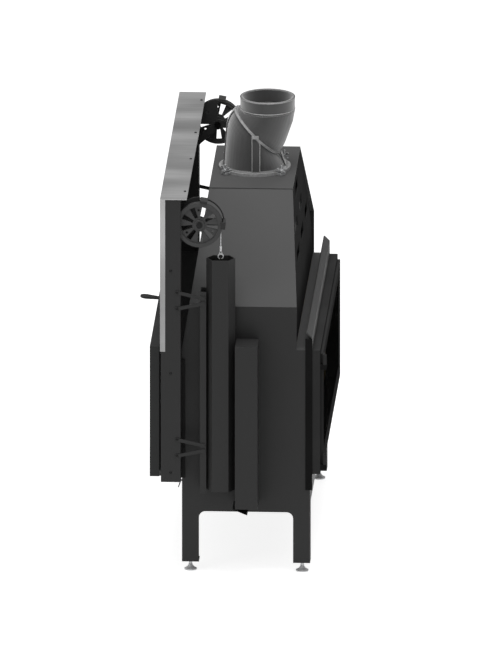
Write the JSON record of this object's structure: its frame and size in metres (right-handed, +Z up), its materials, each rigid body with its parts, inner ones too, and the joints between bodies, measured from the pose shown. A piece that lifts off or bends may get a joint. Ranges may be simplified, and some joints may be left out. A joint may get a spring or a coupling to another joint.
{
  "type": "fireplace insert",
  "caption": "See-through wood-burning fireplace insert: wide glazed door lifting on cables and counterweights, hinged rear door, turning flue outlet, black steel casing on legs.",
  "frame": {"origin": "on the floor under the middle of the whole object, between the tip of the door handle and the back of the rear hinges", "axes": "+Z up, -Y towards the lifting front door, +X to the right seen from the front door"},
  "size_m": [1.488, 0.7136, 1.625],
  "materials": {
    "black_steel": "heat-resistant black paint, satin",
    "dark_steel": "heat-resistant black paint on inner and small steel pieces",
    "sloped_steel": "heat-resistant dark grey paint",
    "galvanised": "galvanised sheet",
    "cast_grey": "grey painted flue outlet",
    "bright_steel": "zinc-plated fasteners, feet and cable ends",
    "cast_weight": "cast iron counterweights and grate",
    "firebrick": "pressed vermiculite board, matt",
    "glass": "dark-tinted ceramic glass",
    "seal_rope": "woven glass-fibre sealing rope",
    "glide": "graphite-filled glide block"
  },
  "bodies": {
    "chassis": {"right_side_panel": "black_steel", "left_side_panel": "black_steel", "aprons": "black_steel", "base_plate": "black_steel", "firebox_floor": "dark_steel", "hearth_slabs": "firebrick", "fire_grate": "cast_weight", "side_linings": "firebrick", "baffle_plate": "firebrick", "smoke_dome": "dark_steel", "hood_front": "black_steel", "hood_rear": "black_steel", "hood_slopes": "sloped_steel", "hood_top": "sloped_steel", "front_surround": "dark_steel", "door_seal": "seal_rope", "rear_surround": "black_steel", "rear_ledge": "black_steel", "edge_strips": "dark_steel", "post_spacers": "dark_steel", "guide_posts": "black_steel", "mask": "galvanised", "cover_screws": "bright_steel", "strut_brackets": "dark_steel", "tube_uprights": "black_steel", "weight_tubes": "black_steel", "pulley_brackets": "dark_steel", "pulley_axles": "bright_steel", "cable_guards": "dark_steel", "cable_wraps": "bright_steel", "rear_cables": "bright_steel", "air_ducts": "black_steel", "flue_ring": "cast_grey", "ring_clamps": "cast_grey", "rear_hinges": "dark_steel"},
    "front_door": {"door_frame": "black_steel", "door_glass": "glass", "door_handle": "black_steel", "door_carriages": "sloped_steel", "carriage_glides": "glide", "front_cables": "bright_steel"},
    "right_weight": {"right_counterweight": "cast_weight", "right_cable_end": "bright_steel"},
    "left_weight": {"left_counterweight": "cast_weight", "left_cable_end": "bright_steel"},
    "right_pulley_wheel": {"right_pulley": "black_steel"},
    "left_pulley_wheel": {"left_pulley": "black_steel"},
    "rear_door": {"rear_door_frame": "black_steel", "rear_door_glass": "glass"},
    "flue_lower": {"flue_lower_elbow": "cast_grey", "flue_straps": "cast_grey", "flue_joint_ring": "cast_grey"},
    "flue_upper": {"flue_upper_elbow": "cast_grey", "flue_collar": "cast_grey"},
    "air_lever_bar": {"air_lever": "black_steel"},
    "air_flap_shaft": {"air_flaps": "dark_steel"},
    "foot_front_right": {"front_right_foot": "bright_steel"},
    "foot_front_left": {"front_left_foot": "bright_steel"},
    "foot_rear_right": {"rear_right_foot": "bright_steel"},
    "foot_rear_left": {"rear_left_foot": "bright_steel"}
  },
  "joints": [
    {"name": "door_lift", "type": "slide", "parent": "chassis", "child": "front_door", "axis": [0, 0, 1], "range_m": [0, 0.43], "deforming": ["front_cables", "rear_cables"]},
    {"name": "right_weight_drop", "type": "slide", "parent": "chassis", "child": "right_weight", "axis": [0, 0, -1], "range_m": [0, 0.43]},
    {"name": "left_weight_drop", "type": "slide", "parent": "chassis", "child": "left_weight", "axis": [0, 0, -1], "range_m": [0, 0.43]},
    {"name": "right_pulley_turn", "type": "hinge", "parent": "chassis", "child": "right_pulley_wheel", "pos_m": [0.678, -0.106, 1.33], "axis": [-1, 0, 0], "range_deg": [0, 316]},
    {"name": "left_pulley_turn", "type": "hinge", "parent": "chassis", "child": "left_pulley_wheel", "pos_m": [-0.678, -0.106, 1.33], "axis": [-1, 0, 0], "range_deg": [0, 316]},
    {"name": "rear_door_swing", "type": "hinge", "parent": "chassis", "child": "rear_door", "pos_m": [0.628, 0.35, 0.61], "axis": [0, 0, -1], "range_deg": [0, 100]},
    {"name": "flue_swivel", "type": "hinge", "parent": "chassis", "child": "flue_lower", "pos_m": [0, 0.062, 1.363], "axis": [0, 0, 1], "continuous": true},
    {"name": "flue_turn", "type": "hinge", "parent": "flue_lower", "child": "flue_upper", "pos_m": [0, 0.072, 1.497], "axis": [0, 0.7071, 0.7071], "range_deg": [0, 180]},
    {"name": "air_lever_slide", "type": "slide", "parent": "chassis", "child": "air_lever_bar", "axis": [1, 0, 0], "range_m": [-0.06, 0.06]},
    {"name": "air_flap_turn", "type": "hinge", "parent": "chassis", "child": "air_flap_shaft", "pos_m": [0, 0.02, 0.2635], "axis": [1, 0, 0], "range_deg": [-22.1, 22.1]},
    {"name": "front_right_foot_screw", "type": "slide", "parent": "chassis", "child": "foot_front_right", "axis": [0, 0, -1], "range_m": [0, 0.025]},
    {"name": "front_left_foot_screw", "type": "slide", "parent": "chassis", "child": "foot_front_left", "axis": [0, 0, -1], "range_m": [0, 0.025]},
    {"name": "rear_right_foot_screw", "type": "slide", "parent": "chassis", "child": "foot_rear_right", "axis": [0, 0, -1], "range_m": [0, 0.025]},
    {"name": "rear_left_foot_screw", "type": "slide", "parent": "chassis", "child": "foot_rear_left", "axis": [0, 0, -1], "range_m": [0, 0.025]}
  ],
  "couplings": [
    {"joint": "right_weight_drop", "follows": "door_lift", "ratio": 1},
    {"joint": "left_weight_drop", "follows": "door_lift", "ratio": 1},
    {"joint": "right_pulley_turn", "follows": "door_lift", "rad_per_m": 12.821},
    {"joint": "left_pulley_turn", "follows": "door_lift", "rad_per_m": 12.821},
    {"joint": "air_flap_turn", "follows": "air_lever_slide", "rad_per_m": 6.4}
  ]
}
